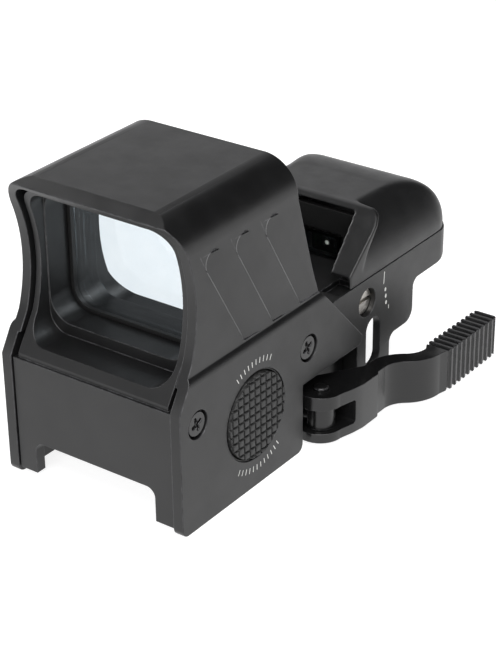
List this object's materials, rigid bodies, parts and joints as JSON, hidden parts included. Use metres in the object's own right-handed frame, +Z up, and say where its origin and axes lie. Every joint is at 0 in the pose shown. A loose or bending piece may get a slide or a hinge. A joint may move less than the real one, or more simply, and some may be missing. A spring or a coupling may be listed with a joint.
{
  "type": "red dot finder",
  "caption": "Hooded reflex dot finder with a coated window, a rear emitter cover and a base that clamps on an accessory rail by a cam lever.",
  "frame": {"origin": "on the rail seat, midway between the side plates and 34 mm behind their front edge", "axes": "+Z up from the rail seat, +Y from the front window to the eye along the rail, +X to the lever side"},
  "size_m": [0.0581, 0.102, 0.0644],
  "materials": {
    "shield_alloy": "satin black anodised alloy",
    "casting": "satin black coated casting",
    "cover_plastic": "fine-grained black moulding",
    "rubber_black": "matte black rubber",
    "coated_glass": "coated optical glass",
    "clear_glass": "clear glass",
    "inner_black": "matte black plastic",
    "board_green": "green circuit board",
    "chip_black": "moulded chip",
    "battery_steel": "nickel-plated steel",
    "contact_brass": "sprung brass",
    "screw_black": "black oxide steel",
    "clamp_alloy": "black anodised alloy",
    "steel": "bare steel",
    "spring_steel": "spring steel",
    "lever_alloy": "dark grey anodised alloy",
    "button_rubber": "knurled black rubber",
    "plunger_red": "red plastic",
    "adjuster_brass": "bright plated brass",
    "carriage_alloy": "machined alloy",
    "led_white": "clear and white plastic"
  },
  "bodies": {
    "sight": {"shield": "shield_alloy", "housing": "casting", "rear_cover": "cover_plastic", "cover_gasket": "rubber_black", "lens": "coated_glass", "lens_retainer": "inner_black", "lens_gasket": "rubber_black", "emitter_window": "clear_glass", "window_frame": "inner_black", "main_board": "board_green", "board_chip": "chip_black", "switch_body": "chip_black", "button_bezel": "inner_black", "battery": "battery_steel", "battery_spring": "contact_brass", "shield_screws": "screw_black", "cover_screws": "screw_black", "clamp_base": "clamp_alloy", "base_screws": "screw_black", "recoil_lug": "steel", "jaw_spring": "spring_steel", "windage_spring": "spring_steel"},
    "button": {"button_pad": "button_rubber", "switch_plunger": "plunger_red"},
    "seal": {"cap_seal": "rubber_black"},
    "cap": {"battery_cap": "clamp_alloy"},
    "bolt": {"cross_bolt": "screw_black", "lever_pin": "screw_black"},
    "lever": {"lever": "lever_alloy"},
    "jaw": {"clamp_jaw": "clamp_alloy"},
    "nut": {"tension_nut": "clamp_alloy"},
    "windage_screw": {"windage_screw": "adjuster_brass"},
    "windage_slide": {"windage_slide": "carriage_alloy", "elevation_spring": "spring_steel"},
    "elevation_screw": {"elevation_screw": "adjuster_brass"},
    "carriage": {"emitter_carriage": "carriage_alloy", "led_board": "board_green", "led": "led_white"}
  },
  "joints": [
    {"name": "button_press", "type": "slide", "parent": "sight", "child": "button", "axis": [-1, 0, 0], "range_m": [0, 0.0006], "stiffness_N_per_m": 2500},
    {"name": "cap_travel", "type": "slide", "parent": "sight", "child": "seal", "axis": [-1, 0, 0], "range_m": [0, 0.0032]},
    {"name": "cap_turn", "type": "hinge", "parent": "seal", "child": "cap", "pos_m": [-0.022, -0.019, 0.0114], "axis": [-1, 0, 0], "range_deg": [0, 1152.5]},
    {"name": "bolt_slide", "type": "slide", "parent": "sight", "child": "bolt", "axis": [-1, 0, 0], "range_m": [0, 0.0012]},
    {"name": "lever_hinge", "type": "hinge", "parent": "bolt", "child": "lever", "pos_m": [0.0218, 0.0125, -0.0006], "axis": [0, 0, -1], "range_deg": [0, 100]},
    {"name": "jaw_adjust", "type": "slide", "parent": "bolt", "child": "jaw", "axis": [-1, 0, 0], "range_m": [0, 0.0016]},
    {"name": "nut_turn", "type": "hinge", "parent": "jaw", "child": "nut", "pos_m": [-0.0187, 0.0125, -0.0006], "axis": [-1, 0, 0], "range_deg": [0, 720.5]},
    {"name": "windage_turn", "type": "hinge", "parent": "sight", "child": "windage_screw", "pos_m": [0.017, 0.0333, 0.0153], "axis": [1, 0, 0], "range_deg": [-360.5, 360.5]},
    {"name": "windage_shift", "type": "slide", "parent": "sight", "child": "windage_slide", "axis": [1, 0, 0], "range_m": [-0.0005, 0.0005]},
    {"name": "elevation_turn", "type": "hinge", "parent": "windage_slide", "child": "elevation_screw", "pos_m": [-0.006, 0.0314, 0.0198], "axis": [0, 0, 1], "range_deg": [-360.5, 360.5]},
    {"name": "elevation_shift", "type": "slide", "parent": "windage_slide", "child": "carriage", "axis": [0, 0, 1], "range_m": [-0.0005, 0.0005]}
  ],
  "couplings": [
    {"joint": "cap_turn", "follows": "cap_travel", "rad_per_m": 6283.2},
    {"joint": "bolt_slide", "follows": "lever_hinge", "m_per_rad": 0.00068755},
    {"joint": "nut_turn", "follows": "jaw_adjust", "rad_per_m": 7854},
    {"joint": "windage_turn", "follows": "windage_shift", "rad_per_m": 12566},
    {"joint": "elevation_turn", "follows": "elevation_shift", "rad_per_m": 12566}
  ]
}
